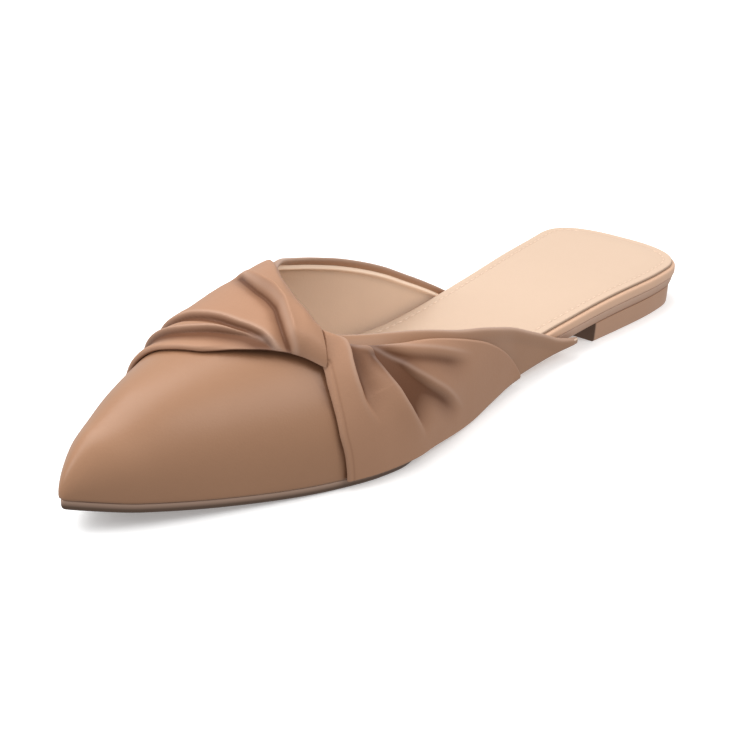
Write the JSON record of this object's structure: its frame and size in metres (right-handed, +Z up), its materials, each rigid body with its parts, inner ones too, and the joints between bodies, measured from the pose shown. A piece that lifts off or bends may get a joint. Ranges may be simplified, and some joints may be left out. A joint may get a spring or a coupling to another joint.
{
  "type": "mule shoe",
  "caption": "Flat pointed mule for the left foot: hollow lasted upper, open at the back, a pleated band gathered in a twist over the vamp, thin outsole and low heel.",
  "frame": {"origin": "centre of the shoe's outline, on the floor that it stands on", "axes": "+Z up, -Y towards the toe, +Y towards the heel, +X towards the outer side of the left foot"},
  "size_m": [0.0803, 0.2646, 0.047],
  "materials": {
    "outsole": "matt moulded sheet",
    "heel": "satin painted block",
    "insole_wrap": "satin",
    "sock_lining": "soft matt",
    "upper_leather": "smooth, soft gloss",
    "band_leather": "smooth, nearly matt"
  },
  "bodies": {
    "root": {"outsole": "outsole", "heel": "heel", "insole": "insole_wrap", "sock": "sock_lining", "upper": "upper_leather", "band_lateral": "band_leather", "band_medial": "band_leather"}
  },
  "joints": []
}
